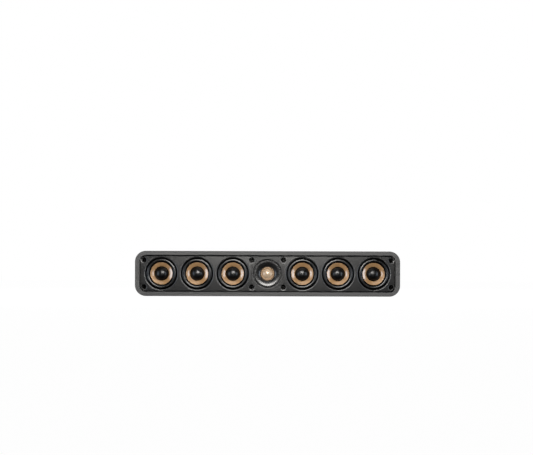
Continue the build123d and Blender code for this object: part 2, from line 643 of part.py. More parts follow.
def tweeter_motor():
    """Top plate, ring magnet and pole yoke of the tweeter."""
    pole = TWEETER_COIL_RADIUS - COIL_CLEARANCE
    top_ring = Circle(TWEETER_TOP_PLATE_RADIUS) - Circle(TWEETER_GAP_OUTER)
    magnet_ring = Circle(TWEETER_MAGNET_RADIUS) - Circle(TWEETER_MAGNET_BORE)
    top_plate = prism(top_ring, TWEETER_PLATE, TWEETER_MAGNET)
    magnet = prism(magnet_ring, TWEETER_MAGNET, TWEETER_YOKE)
    yoke = turned_points(
        (0, TWEETER_PLATE),
        (pole, TWEETER_PLATE),
        (pole, TWEETER_YOKE),
        (TWEETER_TOP_PLATE_RADIUS, TWEETER_YOKE),
        (TWEETER_TOP_PLATE_RADIUS, TWEETER_BACK),
        (0, TWEETER_BACK),
    )
    return [top_plate, magnet, yoke]


def terminal_outline(grow):
    """Rounded outline of the terminal cup, larger or smaller by a margin."""
    width = TERMINAL_WIDTH + 2 * grow
    height = TERMINAL_HEIGHT + 2 * grow
    return RectangleRounded(width, height, TERMINAL_RADIUS + grow)


def terminal_screw_spots():
    """Corner screws of the terminal cup."""
    x = TERMINAL_WIDTH / 2 + TERMINAL_FLANGE - TERMINAL_SCREW_INSET
    z = TERMINAL_HEIGHT / 2 + TERMINAL_FLANGE - TERMINAL_SCREW_INSET
    return [(i * x, j * z) for i in (-1, 1) for j in (-1, 1)]


def terminal_cup():
    """Moulded cup with a flange let into the rear panel and a floor for the two posts."""
    flange = prism(terminal_outline(TERMINAL_FLANGE), 0, -TERMINAL_FLANGE_THICKNESS)
    bottom = TERMINAL_BASE - TERMINAL_FLOOR
    body = loft([Pos(0, 0, -TERMINAL_FLANGE_THICKNESS) * terminal_outline(0),
                 Pos(0, 0, bottom) * terminal_outline(-TERMINAL_DRAFT)])
    hollow = loft([terminal_outline(-TERMINAL_WALL),
                   Pos(0, 0, TERMINAL_BASE) * terminal_outline(-TERMINAL_WALL - TERMINAL_DRAFT)])
    stud_hole = prism(Circle(STUD_RADIUS + STUD_CLEARANCE), TERMINAL_BASE, bottom)
    screw_hole = prism(Circle(WOOD_SHANK_RADIUS + SCREW_HOLE_CLEARANCE), 0, -TERMINAL_FLANGE_THICKNESS)
    cuts = [hollow]
    cuts += [Pos(i * POST_SPACING / 2, 0) * stud_hole for i in (-1, 1)]
    cuts += [Pos(x, z) * screw_hole for x, z in terminal_screw_spots()]
    return joined(flange, [body]).cut(*cuts)


def binding_stud():
    """Threaded stud with a collar, a banana socket in its end and a cross hole for bare wire."""
    stud = turned_points(
        (0, STUD_TAIL),
        (STUD_RADIUS, STUD_TAIL),
        (STUD_RADIUS, TERMINAL_BASE),
        (COLLAR_RADIUS, TERMINAL_BASE),
        (COLLAR_RADIUS, TERMINAL_BASE + COLLAR_THICKNESS),
        (STUD_RADIUS, TERMINAL_BASE + COLLAR_THICKNESS),
        (STUD_RADIUS, STUD_END),
        (BANANA_RADIUS, STUD_END),
        (BANANA_RADIUS, STUD_END - BANANA_DEPTH),
        (0, STUD_END - BANANA_DEPTH),
    )
    wire = Rot(90, 0, 0) * Cylinder(WIRE_HOLE_RADIUS, 2 * STUD_LENGTH)
    return stud - Pos(0, 0, KNOB_BASE + WIRE_HOLE_RISE) * wire


def binding_nut():
    """Hexagon nut behind the cup's floor."""
    top = TERMINAL_BASE - TERMINAL_FLOOR
    outline = RegularPolygon(NUT_RADIUS, 6) - Circle(STUD_RADIUS + STUD_CLEARANCE)
    return prism(outline, top, top - NUT_THICKNESS)


def post_cap():
    """Fluted cap that turns on the stud."""
    top = KNOB_BASE + CAP_KNOB_LENGTH
    bore = STUD_RADIUS + CAP_KNOB_RUNNING
    knob = turned_points(
        (bore, KNOB_BASE),
        (CAP_KNOB_RADIUS - CAP_KNOB_BREAK, KNOB_BASE),
        (CAP_KNOB_RADIUS, KNOB_BASE + CAP_KNOB_BREAK),
        (CAP_KNOB_RADIUS, top - CAP_KNOB_BREAK),
        (CAP_KNOB_RADIUS - CAP_KNOB_BREAK, top),
        (bore, top),
    )
    flute = Cylinder(CAP_FLUTE_RADIUS, 2 * CAP_KNOB_LENGTH + STUD_LENGTH)
    flute = Pos(CAP_KNOB_RADIUS, 0, KNOB_BASE) * flute
    return knob.cut(*[Rot(0, 0, i * 360 / CAP_FLUTES) * flute for i in range(CAP_FLUTES)])


def keyhole_outline(grow):
    """Entry hole with a narrower slot above it."""
    slot = Pos(0, HANGER_RISE) * Rectangle(2 * (KEYHOLE_SLOT_RADIUS + grow), KEYHOLE_TRAVEL)
    entry = Pos(0, KEYHOLE_ENTRY_Z) * Circle(KEYHOLE_ENTRY_RADIUS + grow)
    return entry + slot + Pos(0, KEYHOLE_END_Z) * Circle(KEYHOLE_SLOT_RADIUS + grow)


def hanger_outline(grow):
    """Round-ended outline of a hanger plate."""
    size = (HANGER_WIDTH + 2 * grow, HANGER_HEIGHT + 2 * grow)
    return Pos(0, HANGER_RISE) * RectangleRounded(*size, HANGER_WIDTH / 2 - GLUE_GAP)


def hanger_screw_spots():
    """Screws above and below the keyhole."""
    return [(0, HANGER_RISE + i * HANGER_SCREW_OFFSET) for i in (-1, 1)]


def hanger_plate():
    """Keyhole plate let into the rear panel."""
    plate = prism(hanger_outline(0) - keyhole_outline(0), 0, -HANGER_THICKNESS)
    hole = prism(Circle(WOOD_SHANK_RADIUS + SCREW_HOLE_CLEARANCE), 0, -HANGER_THICKNESS)
    return plate.cut(*[Pos(x, z) * hole for x, z in hanger_screw_spots()])


def port_tube():
    """Port tube with a flared mouth and a flange let into the rear panel."""
    mouth = PORT_RADIUS + PORT_FLARE
    share = 1 - sqrt(2) / 2
    flare = ThreePointArc(
        (mouth, 0), (PORT_RADIUS + PORT_FLARE * share, -PORT_FLARE * share), (PORT_RADIUS, -PORT_FLARE)
    )
    outer = PORT_RADIUS + PORT_WALL
    outside = Polyline(
        (PORT_RADIUS, -PORT_FLARE),
        (PORT_RADIUS, -PORT_LENGTH),
        (outer, -PORT_LENGTH),
        (outer, -PORT_FLARE - PORT_FLANGE_THICKNESS),
        (mouth + PORT_WALL, -PORT_FLANGE_THICKNESS),
        (PORT_FLANGE_RADIUS, -PORT_FLANGE_THICKNESS),
        (PORT_FLANGE_RADIUS, 0),
        (mouth, 0),
    )
    return turned(make_face(flare.edges() + outside.edges()))


def rear_panel():
    """Back board with its cut-outs for ports, terminal cup and hangers."""
    panel = prism(set_in_outline(), 0, -REAR_THICKNESS)
    pilot = prism(Circle(WOOD_SHANK_RADIUS + PILOT_CLEARANCE), 0, -WOOD_SCREW_LENGTH)
    cuts = [
        prism(terminal_outline(TERMINAL_FLANGE + FIT_CLEARANCE), 0, -TERMINAL_FLANGE_THICKNESS),
        prism(terminal_outline(FIT_CLEARANCE), 0, -REAR_THICKNESS),
    ]
    cuts += [Pos(x, z) * pilot for x, z in terminal_screw_spots()]
    rebate = prism(Circle(PORT_FLANGE_RADIUS + FIT_CLEARANCE), 0, -PORT_FLANGE_THICKNESS)
    hole = prism(Circle(PORT_RADIUS + PORT_FLARE + PORT_WALL + FIT_CLEARANCE), 0, -REAR_THICKNESS)
    cuts += [Pos(i * PORT_X, 0) * cut for i in (-1, 1) for cut in (rebate, hole)]
    seat = prism(hanger_outline(FIT_CLEARANCE), 0, -HANGER_THICKNESS)
    pocket = prism(keyhole_outline(KEYHOLE_POCKET_MARGIN), 0, -HANGER_THICKNESS - KEYHOLE_POCKET_DEPTH)
    hanger_cuts = [seat, pocket] + [Pos(x, z) * pilot for x, z in hanger_screw_spots()]
    cuts += [Pos(i * HANGER_SPACING / 2, 0) * cut for i in (-1, 1) for cut in hanger_cuts]
    return panel.cut(*cuts)


def crossover_screw_spots():
    """Corner screws of the crossover board on the cabinet floor."""
    x = CROSSOVER_WIDTH / 2 - CROSSOVER_SCREW_INSET
    y = CROSSOVER_DEPTH / 2 - CROSSOVER_SCREW_INSET
    return [(i * x, CROSSOVER_Y + j * y) for i in (-1, 1) for j in (-1, 1)]


def crossover_board():
    """Fibre board screwed flat on the cabinet floor."""
    board = Pos(0, CROSSOVER_Y) * prism(Rectangle(CROSSOVER_WIDTH, CROSSOVER_DEPTH), CROSSOVER_TOP, WALL)
    hole = prism(Circle(WOOD_SHANK_RADIUS + SCREW_HOLE_CLEARANCE), CROSSOVER_TOP, WALL)
    return board.cut(*[Pos(x, y) * hole for x, y in crossover_screw_spots()])


def crossover_coils():
    """Two wound coils standing on the board."""
    coil = prism(Circle(COIL_BOBBIN_RADIUS) - Circle(COIL_BOBBIN_BORE), CROSSOVER_TOP + COIL_BOBBIN_HEIGHT,
                 CROSSOVER_TOP)
    return [Pos(i * COIL_BOBBIN_X, CROSSOVER_Y) * coil for i in (-1, 1)]


def crossover_capacitors():
    """Two capacitors lying between the coils."""
    body = Cylinder(CAPACITOR_RADIUS, CAPACITOR_LENGTH)
    body = Rot(0, 90, 0) * chamfer(body.edges().filter_by(GeomType.CIRCLE), CAPACITOR_EDGE)
    height = CROSSOVER_TOP + CAPACITOR_RADIUS + LEAD_REST
    middle = CROSSOVER_Y - CAPACITOR_PITCH / 2
    return [Pos(0, middle + i * CAPACITOR_PITCH / 2, height) * body for i in (-1, 1)]


def bent_lead(points, radii):
    """Round lead along straight runs joined by arcs."""
    path = FilletPolyline(*points, radius=radii)
    start = path.edges()[0]
    section = Plane(origin=start @ 0, z_dir=start % 0) * Circle(LEAD_RADIUS)
    return sweep(section, path=path)


def wiring():
    """Leads from the posts to the crossover and from there to the seven drivers."""
    floor_z = WALL + LEAD_RADIUS + LEAD_REST
    leads = []
    lug_y = TRIM_FRONT_Y - PLATE + SHEET / 2
    lug_z = MID_Z - LUG_REACH
    for side in (-1, 1):
        for i, x in enumerate(RIGHT_WOOFERS):
            lane = CROSSOVER_Y + (i - 1) * LEAD_LANE_PITCH
            start = (side * CROSSOVER_WIDTH / 2, lane, floor_z)
            turn = (side * x, lane, floor_z)
            foot = (side * x, lug_y, floor_z)
            end = (side * x, lug_y, lug_z)
            leads.append(bent_lead((start, turn, foot, end), (LEAD_BEND, LEAD_RISE_BEND)))
    tweeter_y = TRIM_FRONT_Y - TWEETER_BACK - TWEETER_YOKE_THICKNESS / 2
    tweeter_z = MID_Z - TWEETER_TOP_PLATE_RADIUS - GLUE_GAP
    front_edge = (0, CROSSOVER_Y - CROSSOVER_DEPTH / 2, floor_z)
    leads.append(
        bent_lead((front_edge, (0, tweeter_y, floor_z), (0, tweeter_y, tweeter_z)), (LEAD_RISE_BEND,))
    )
    tail_y = REAR_FACE_Y + STUD_TAIL
    fall_y = tail_y - INPUT_LEAD_RUN
    for side in (-1, 1):
        x = side * POST_SPACING / 2
        bend = (x, fall_y, MID_Z)
        leads.append(
            bent_lead(((x, tail_y, MID_Z), bend, (x, fall_y, CROSSOVER_TOP)), (LEAD_RISE_BEND / 2,))
        )
    return leads


def wadding():
    """Two damping pads on the inside of the rear panel."""
    outline = RectangleRounded(WADDING_LENGTH, WADDING_HEIGHT, WADDING_RADIUS)
    pad = REAR * prism(outline, -REAR_THICKNESS, -REAR_THICKNESS - WADDING_THICKNESS)
    return [Pos(i * WADDING_X, 0) * pad for i in (-1, 1)]


def trim_screws():
    """The eight screws in the trim's counterbores."""
    screw = pan_screw(TRIM_HEAD_RADIUS, TRIM_HEAD_HEIGHT, TRIM_SHANK_RADIUS, TRIM_SCREW_LENGTH)
    return [FRONT * Pos(x, z, -CUP_DEPTH) * screw for x, z in TRIM_SCREW_SPOTS]


def wood_screws():
    """All the screws of the drivers, the terminal cup, the hangers and the crossover."""
    screw = pan_screw(WOOD_HEAD_RADIUS, WOOD_HEAD_HEIGHT, WOOD_SHANK_RADIUS, WOOD_SCREW_LENGTH)
    screws = [FRONT * Pos(x + dx, dz, SEAT) * screw for x in WOOFER_XS for dx, dz in ear_spots()]
    screws += [FRONT * Pos(dx, dz, SEAT) * screw for dx, dz in faceplate_screw_spots()]
    screws += [REAR * Pos(x, z, 0) * screw for x, z in terminal_screw_spots()]
    hanger_xs = (-HANGER_SPACING / 2, HANGER_SPACING / 2)
    screws += [REAR * Pos(x, z, 0) * screw for x in hanger_xs for _, z in hanger_screw_spots()]
    screws += [Pos(x, y, CROSSOVER_TOP) * screw for x, y in crossover_screw_spots()]
    return screws


def group(shapes):
    """Separate solids kept together in one file."""
    return Compound([solid for shape in shapes for solid in shape.solids()])


left_trim, center_trim, right_trim = trim_panels()
nodes = {
    "cabinet_shell": cabinet_shell(),
    "baffle_board": FRONT * baffle_board(),
    "rear_panel": REAR * rear_panel(),
    "left_trim": FRONT * left_trim,
    "center_trim": FRONT * center_trim,
    "right_trim": FRONT * right_trim,
    "trim_screws": group(trim_screws()),
    "wood_screws": group(wood_screws()),
    "tweeter_faceplate": FRONT * tweeter_faceplate(),
    "tweeter_dome": FRONT * tweeter_dome(),
    "tweeter_motor": group([FRONT * piece for piece in tweeter_motor()]),
    "left_port": REAR * Pos(PORT_X, 0) * port_tube(),
    "right_port": REAR * Pos(-PORT_X, 0) * port_tube(),
    "terminal_cup": REAR * terminal_cup(),
    "red_post_cap": REAR * Pos(POST_SPACING / 2, 0) * post_cap(),
    "black_post_cap": REAR * Pos(-POST_SPACING / 2, 0) * post_cap(),
    "hanger_plates": group([REAR * Pos(i * HANGER_SPACING / 2, 0) * hanger_plate() for i in (-1, 1)]),
    "crossover_board": crossover_board(),
    "crossover_coils": group(crossover_coils()),
    "crossover_capacitors": group(crossover_capacitors()),
    "wiring": group(wiring()),
    "wadding": group(wadding()),
}
post_pieces = [binding_stud(), binding_nut()]
nodes["binding_posts"] = group(
    [REAR * Pos(i * POST_SPACING / 2, 0) * piece for i in (-1, 1) for piece in post_pieces]
)
woofer_pieces = {
    "basket": woofer_basket(),
    "surround": woofer_surround(),
    "cone": woofer_cone(),
    "dust_cap": woofer_dust_cap(),
    "spider": woofer_spider(),
    "voice_coil": woofer_voice_coil(),
}
motor = woofer_motor()
nodes["woofer_motors"] = group([FRONT * Pos(x, 0) * piece for x in WOOFER_XS for piece in motor])
for number, x in enumerate(WOOFER_XS, start=1):
    for name, piece in woofer_pieces.items():
        nodes[f"woofer_{number}_{name}"] = FRONT * Pos(x, 0) * piece

os.makedirs("parts", exist_ok=True)
for name, shape in nodes.items():
    export_step(shape, f"parts/{name}.step")
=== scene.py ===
import json
import math

import bpy
import numpy as np
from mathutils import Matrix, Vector


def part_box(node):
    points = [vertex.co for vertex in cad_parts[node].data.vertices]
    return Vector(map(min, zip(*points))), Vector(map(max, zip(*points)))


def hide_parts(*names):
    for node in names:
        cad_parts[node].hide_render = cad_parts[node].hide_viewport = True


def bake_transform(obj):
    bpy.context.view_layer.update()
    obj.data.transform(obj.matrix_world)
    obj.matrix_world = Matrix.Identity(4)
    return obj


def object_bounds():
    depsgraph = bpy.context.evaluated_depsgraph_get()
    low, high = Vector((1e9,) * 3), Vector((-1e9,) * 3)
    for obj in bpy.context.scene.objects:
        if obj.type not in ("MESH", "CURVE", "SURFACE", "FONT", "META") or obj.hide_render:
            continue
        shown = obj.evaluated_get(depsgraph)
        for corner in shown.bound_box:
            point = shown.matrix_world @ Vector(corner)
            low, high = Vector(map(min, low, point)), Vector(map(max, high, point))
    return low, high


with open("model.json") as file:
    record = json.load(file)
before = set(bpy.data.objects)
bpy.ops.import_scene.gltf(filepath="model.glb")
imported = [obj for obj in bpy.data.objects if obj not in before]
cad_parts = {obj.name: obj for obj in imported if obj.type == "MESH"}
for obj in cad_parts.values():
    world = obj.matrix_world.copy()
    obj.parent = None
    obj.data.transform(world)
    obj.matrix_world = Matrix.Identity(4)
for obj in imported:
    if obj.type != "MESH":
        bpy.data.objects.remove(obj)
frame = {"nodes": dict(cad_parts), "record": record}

# Slim center channel speaker, dressed for the camera. Metres, in the frame of the solids.
cad_low, cad_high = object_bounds()
MM = 0.001
WOOFERS = range(1, 7)


def middle_x(node):
    """The middle of a node's box, across the cabinet."""
    low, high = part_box(node)
    return (low.x + high.x) / 2


# Places taken from the solids
CABINET_WIDTH = cad_high.x - cad_low.x
MID_HEIGHT = (cad_low.z + cad_high.z) / 2
TRIM_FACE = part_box("center_trim")[0].y
FIRST_WOOFER = middle_x("woofer_4_surround")
WOOFER_PITCH = middle_x("woofer_5_surround") - FIRST_WOOFER
SCREW_HEAD = 3.6 * MM
SEAM_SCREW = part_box("center_trim")[1].x
CORNER_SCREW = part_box("trim_screws")[1].x - SCREW_HEAD
SCREW_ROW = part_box("trim_screws")[1].z - SCREW_HEAD - MID_HEIGHT

# The photograph's frame, in pixels
PHOTO_WIDTH = 533
PHOTO_HEIGHT = 455
CABINET_PIXELS = 265.3
CABINET_CENTER_PIXEL = (267.53, 273.74)
PHOTO_ROLL = math.radians(0.17)

# Woofer surround and spider, as radii and heights in millimetres
SURROUND_INNER = 25.6
ROLL_INNER = 27.4
ROLL_OUTER = 35.0
SURROUND_OUTER = 37.6
SURROUND_THICKNESS = 0.8
FOOT_EDGE = ((0.35, 1.0), (0.1, 0.7), (0.0, 0.3), (0.0, 0.0))  # steps from the edge, shares of the thickness
SPIDER_INNER = 10.35
SPIDER_OUTER = 26.4
SPIDER_ROLLS = (12.0, 23.0)
SPIDER_WAVES = 2.5
SPIDER_HEIGHT = 1.0
SPIDER_THICKNESS = 0.5
RING_SEGMENTS = 120
ROLL_STEPS = 20
SPIDER_STEPS = 40
SHARP_EDGE = math.radians(50)

# Shading that follows a place on the part: distances from an axis, slopes and shares
CREST_RADIUS = (ROLL_INNER + ROLL_OUTER) / 2 * MM
CREST_SHINE = 1.8 * MM
CREST_DULL = 3.2 * MM
CAP_FLAT = 5.5 * MM
CAP_EDGE = 16.0 * MM
CAP_SLOPE = 0.42
DOME_RADIUS = 11.9 * MM
FLARE_START = 20.0 * MM
FLARE_FULL = 25.0 * MM
FLARE_MOUTH = 27.8 * MM
FLARE_SLOPE = 0.14
OPENING_EDGE = 39.3 * MM
CUP_EDGE = 7.6 * MM
FACEPLATE_EDGE = 34.2 * MM
EDGE_SOFTNESS = 0.4 * MM
EDGE_SLOPE = 0.26
EDGE_SHINE = 2.4
CROWN_RADIUS_X = 7.0
CROWN_RADIUS_Z = 0.6
DULL_START = 0.5 * MM  # below the face of the trim
DULL_FULL = 1.1 * MM
# Where the painted shade on the rim's inner edges, near black, begins and where it is full
GROOVE_SHADE_START = -12.0 * MM  # height above the middle, times how far the surface faces up
GROOVE_SHADE_FULL = -25.0 * MM
WEAVE_RISE = 0.04  # of the pitch of the threads
WAVE_FACTOR = 20.0  # built into the wave texture


class Look:
    """One material and the nodes that make it."""

    def __init__(self, name):
        self.material = bpy.data.materials.new(name)
        self.material.use_nodes = True
        self.tree = self.material.node_tree
        self.shader = self.tree.nodes["Principled BSDF"]
        self.normal = None

    def node(self, kind, **settings):
        made = self.tree.nodes.new(kind)
        for key, value in settings.items():
            setattr(made, key, value)
        return made

    def feed(self, socket, value):
        """Links a socket to another, or sets its value."""
        if isinstance(value, bpy.types.NodeSocket):
            self.tree.links.new(value, socket)
        else:
            socket.default_value = value

    def set(self, **values):
        """Sets or links inputs of the shader, named with underscores for spaces."""
        for key, value in values.items():
            self.feed(self.shader.inputs[key.replace("_", " ")], value)
        return self

    def fed(self, name):
        """What an input of the shader is linked to."""
        return self.shader.inputs[name].links[0].from_socket

    def place(self, stretch=(1, 1, 1)):
        """The point on the object, stretched."""
        coordinates = self.node("ShaderNodeTexCoord").outputs["Object"]
        mapping = self.node("ShaderNodeMapping")
        self.feed(mapping.inputs["Vector"], coordinates)
        mapping.inputs["Scale"].default_value = stretch
        return mapping.outputs["Vector"]

    def axis(self, name):
        """One coordinate of the point on the object, in metres."""
        parts = self.node("ShaderNodeSeparateXYZ")
        self.feed(parts.inputs[0], self.place())
        return parts.outputs[name]

    def noise(self, scale, stretch=(1, 1, 1), detail=4.0, rough=0.55):
        """A soft noise from 0 to 1; scale is in cycles a metre."""
        made = self.node("ShaderNodeTexNoise")
        self.feed(made.inputs["Vector"], self.place(stretch))
        made.inputs["Scale"].default_value = scale
        made.inputs["Detail"].default_value = detail
        made.inputs["Roughness"].default_value = rough
        return made.outputs["Fac"]

    def cells(self, scale, stretch=(1, 1, 1)):
        """Distance inside random cells, for flakes and fibres."""
        made = self.node("ShaderNodeTexVoronoi")
        self.feed(made.inputs["Vector"], self.place(stretch))
        made.inputs["Scale"].default_value = scale
        return made.outputs["Distance"]

    def bands(self, pitch, axis):
        """Even stripes along one axis, a pitch apart."""
        made = self.node("ShaderNodeTexWave", bands_direction=axis)
        self.feed(made.inputs["Vector"], self.place())
        made.inputs["Scale"].default_value = 2 * math.pi / (WAVE_FACTOR * pitch)
        return made.outputs["Fac"]

    def math(self, operation, first, second=0.0):
        made = self.node("ShaderNodeMath", operation=operation)
        self.feed(made.inputs[0], first)
        self.feed(made.inputs[1], second)
        return made.outputs[0]

    def span(self, value, low, high, start=0.0, stop=1.0):
        """Maps start to stop onto low to high."""
        made = self.node("ShaderNodeMapRange")
        self.feed(made.inputs["Value"], value)
        made.inputs["From Min"].default_value = start
        made.inputs["From Max"].default_value = stop
        made.inputs["To Min"].default_value = low
        made.inputs["To Max"].default_value = high
        return made.outputs["Result"]

    def ramp(self, value, *stops):
        """Colours along 0 to 1, each given as (place, colour)."""
        made = self.node("ShaderNodeValToRGB")
        self.feed(made.inputs["Fac"], value)
        elements = made.color_ramp.elements
        while len(elements) < len(stops):
            elements.new(0.5)
        for element, (where, colour) in zip(elements, stops):
            element.position = where
            element.color = (*colour, 1)
        return made.outputs["Color"]

    def mix(self, share, first, second):
        """Mixes two colours; the node's colour sockets are 6 and 7, and 2 for the result."""
        made = self.node("ShaderNodeMix", data_type="RGBA")
        self.feed(made.inputs["Factor"], share)
        self.feed(made.inputs[6], first)
        self.feed(made.inputs[7], second)
        return made.outputs[2]

    def offset(self, across, up):
        """Distance from an axis along Y, from the steps across and up to it."""
        squares = self.math("ADD", self.math("POWER", across, 2.0), self.math("POWER", up, 2.0))
        return self.math("SQRT", squares)

    def rise(self):
        """Height above the middle of the cabinet."""
        return self.math("SUBTRACT", self.axis("Z"), MID_HEIGHT)

    def from_tweeter(self):
        """Steps across and up from the axis of the tweeter, and the distance to it."""
        across = self.axis("X")
        up = self.rise()
        return across, up, self.offset(across, up)

    def from_woofer(self):
        """Steps across and up from the axis of the nearest woofer, and the distance to it."""
        x = self.axis("X")
        row = self.math("SUBTRACT", self.math("ABSOLUTE", x), FIRST_WOOFER)
        nearest = self.math("ROUND", self.math("DIVIDE", row, WOOFER_PITCH))
        nearest = self.math("MINIMUM", self.math("MAXIMUM", nearest, 0.0), len(WOOFERS) / 2 - 1)
        step = self.math("SUBTRACT", row, self.math("MULTIPLY", nearest, WOOFER_PITCH))
        across = self.math("MULTIPLY", step, self.math("SIGN", x))
        up = self.rise()
        return across, up, self.offset(across, up)

    def from_screw(self):
        """Steps across and up from the axis of the nearest trim screw, and the distance to it."""
        x = self.axis("X")
        z = self.rise()
        wide = self.math("ABSOLUTE", x)
        outer = self.math("GREATER_THAN", wide, (SEAM_SCREW + CORNER_SCREW) / 2)
        step = self.math("SUBTRACT", wide, self.span(outer, SEAM_SCREW, CORNER_SCREW))
        climb = self.math("SUBTRACT", self.math("ABSOLUTE", z), SCREW_ROW)
        across = self.math("MULTIPLY", step, self.math("SIGN", x))
        up = self.math("MULTIPLY", climb, self.math("SIGN", z))
        return across, up, self.offset(across, up)

    def lean(self, across, up, distance, slope):
        """Tilts the surface away from an axis along Y by a slope, or towards it by a negative one."""
        gain = self.math("DIVIDE", slope, distance)
        tilt = self.node("ShaderNodeCombineXYZ")
        self.feed(tilt.inputs["X"], self.math("MULTIPLY", across, gain))
        self.feed(tilt.inputs["Z"], self.math("MULTIPLY", up, gain))
        total = self.node("ShaderNodeVectorMath", operation="ADD")
        self.feed(total.inputs[0], self.normal)
        self.feed(total.inputs[1], tilt.outputs[0])
        unit = self.node("ShaderNodeVectorMath", operation="NORMALIZE")
        self.feed(unit.inputs[0], total.outputs[0])
        self.normal = unit.outputs[0]
        return self.set(Normal=self.normal)

    def bump(self, height, depth, strength=1.0):
        """Raises the surface by a height map; depth is in metres."""
        made = self.node("ShaderNodeBump")
        self.feed(made.inputs["Height"], height)
        made.inputs["Distance"].default_value = depth
        made.inputs["Strength"].default_value = strength
        if self.normal is not None:
            self.feed(made.inputs["Normal"], self.normal)
        self.normal = made.outputs["Normal"]
        return self.set(Normal=self.normal)


def grey(level):
    return (level, level, level)


def cabinet_wrap():
    """Dark ash vinyl with a long fine grain, upright on the cabinet's ends; painted shade, near black, on the
    rim's inner edges above and below.
    """
    look = Look("cabinet_wrap")
    facing = look.node("ShaderNodeSeparateXYZ")
    look.feed(facing.inputs[0], look.node("ShaderNodeNewGeometry").outputs["Normal"])
    end = look.math("POWER", look.math("ABSOLUTE", facing.outputs["X"]), 2.0)
    fine = look.mix(end, look.noise(1.0, (14, 900, 900), 6.0, 0.7), look.noise(1.0, (900, 900, 14), 6.0, 0.7))
    broad = look.mix(end, look.noise(1.0, (3, 150, 150), 3.0), look.noise(1.0, (150, 150, 3), 3.0))
    grain = look.math("ADD", look.math("MULTIPLY", fine, 0.65), look.math("MULTIPLY", broad, 0.35))
    dark, middle, light = (0.064, 0.063, 0.061), (0.092, 0.090, 0.087), (0.122, 0.119, 0.115)
    colour = look.ramp(grain, (0.30, dark), (0.52, middle), (0.74, light))
    # Painted shade: the rim's inner edges, which face the middle height, go near black as if in the groove's
    # shadow, and reflect less
    inward = look.math("MULTIPLY", facing.outputs["Z"], look.rise())
    groove_shade = look.span(inward, 0.0, 1.0, GROOVE_SHADE_START, GROOVE_SHADE_FULL)
    look.set(Base_Color=look.mix(groove_shade, colour, (*grey(0.004), 1)), Roughness=look.span(grain, 0.75, 0.65))
    look.set(Specular_IOR_Level=look.span(groove_shade, 0.2, 0.05))
    return look.bump(fine, 0.00012, 0.5)


def moulded(name, colour, roughness, depth=0.000015, scale=2600.0):
    """Satin moulded plastic with a fine spark grain."""
    look = Look(name)
    cloud = look.noise(40.0)
    grain = look.noise(scale, detail=2.0)
    darker = tuple(0.86 * c for c in colour)
    lighter = tuple(1.12 * c for c in colour)
    look.set(Base_Color=look.ramp(cloud, (0.35, darker), (0.65, lighter)))
    look.set(Roughness=look.span(look.noise(300.0), roughness - 0.05, roughness + 0.06))
    return look.bump(grain, depth, 0.6)


def soft_edge(look, spot, edge, shine=EDGE_SHINE):
    """Lets the face fall away softly, and shine more, up to a distance from each opening's axis."""
    across, up, distance = spot
    inside, outside = edge - EDGE_SOFTNESS, edge + EDGE_SOFTNESS
    gain = look.span(distance, shine, 1.0, inside, outside)
    look.set(Specular_IOR_Level=look.math("MULTIPLY", look.fed("Specular IOR Level"), gain))
    return look.lean(across, up, distance, look.span(distance, -EDGE_SLOPE, 0.0, inside, outside))


def crowned(look):
    """The long side panels are a touch fuller in the middle than at their edges."""
    across = look.math("MULTIPLY", look.math("POWER", look.axis("X"), 2.0), -0.5 / CROWN_RADIUS_X)
    upright = look.math("MULTIPLY", look.math("POWER", look.rise(), 2.0), -0.5 / CROWN_RADIUS_Z)
    return look.bump(look.math("ADD", across, upright), 1.0)


def front_trim():
    """Satin on its face; the cups and the sides of the openings below it stay flat black."""
    look = moulded("front_trim", (0.010, 0.0098, 0.0094), 0.44)
    shine = look.span(look.axis("Y"), 0.5, 0.06, TRIM_FACE + DULL_START, TRIM_FACE + DULL_FULL)
    look.set(Specular_IOR_Level=shine)
    return soft_edge(look, look.from_screw(), CUP_EDGE)


def side_trim():
    look = crowned(front_trim())
    return soft_edge(look, look.from_woofer(), OPENING_EDGE)


def center_trim():
    look = front_trim()
    return soft_edge(look, look.from_tweeter(), FACEPLATE_EDGE, shine=1.0)


def waveguide():
    """Satin flare of the tweeter's plate, sloping up to its mouth."""
    look = moulded("waveguide", (0.006, 0.0059, 0.0057), 0.28, 0.000002).set(Specular_IOR_Level=0.8)
    across, up, distance = look.from_tweeter()
    slope = look.span(distance, 0.0, -FLARE_SLOPE, FLARE_START, FLARE_FULL)
    inside = look.span(distance, 1.0, 0.0, FLARE_MOUTH - EDGE_SOFTNESS, FLARE_MOUTH + EDGE_SOFTNESS)
    return look.lean(across, up, distance, look.math("MULTIPLY", slope, inside))


def gold_cone():
    """Gold pearl cone: fine flakes under a thin clear skin."""
    look = Look("gold_cone")
    flakes = look.cells(2400.0)
    tone = look.noise(90.0)
    pale = look.ramp(flakes, (0.1, (0.46, 0.265, 0.120)), (0.7, (0.40, 0.225, 0.095)))
    deep = look.ramp(flakes, (0.1, (0.43, 0.245, 0.108)), (0.7, (0.37, 0.205, 0.084)))
    look.set(Base_Color=look.mix(tone, pale, deep), Metallic=0.20, Roughness=look.span(flakes, 0.36, 0.46))
    look.set(Coat_Weight=1.0, Coat_IOR=2.0, Coat_Roughness=0.22)
    return look.bump(flakes, 0.00002, 0.35)


def cap_gloss():
    """Black moulded dust cap, full in the middle and dull towards its edge."""
    look = Look("cap_gloss")
    haze = look.noise(500.0)
    look.set(Base_Color=look.ramp(haze, (0.3, grey(0.001)), (0.7, grey(0.002))))
    look.bump(look.noise(1500.0), 0.000006, 0.25)
    across, up, distance = look.from_woofer()
    look.set(Roughness=look.span(haze, 0.30, 0.36))
    look.set(Specular_IOR_Level=look.span(distance, 0.65, 0.03, CAP_FLAT, CAP_EDGE))
    return look.lean(across, up, distance, look.span(distance, 0.0, CAP_SLOPE, CAP_FLAT, CAP_EDGE))


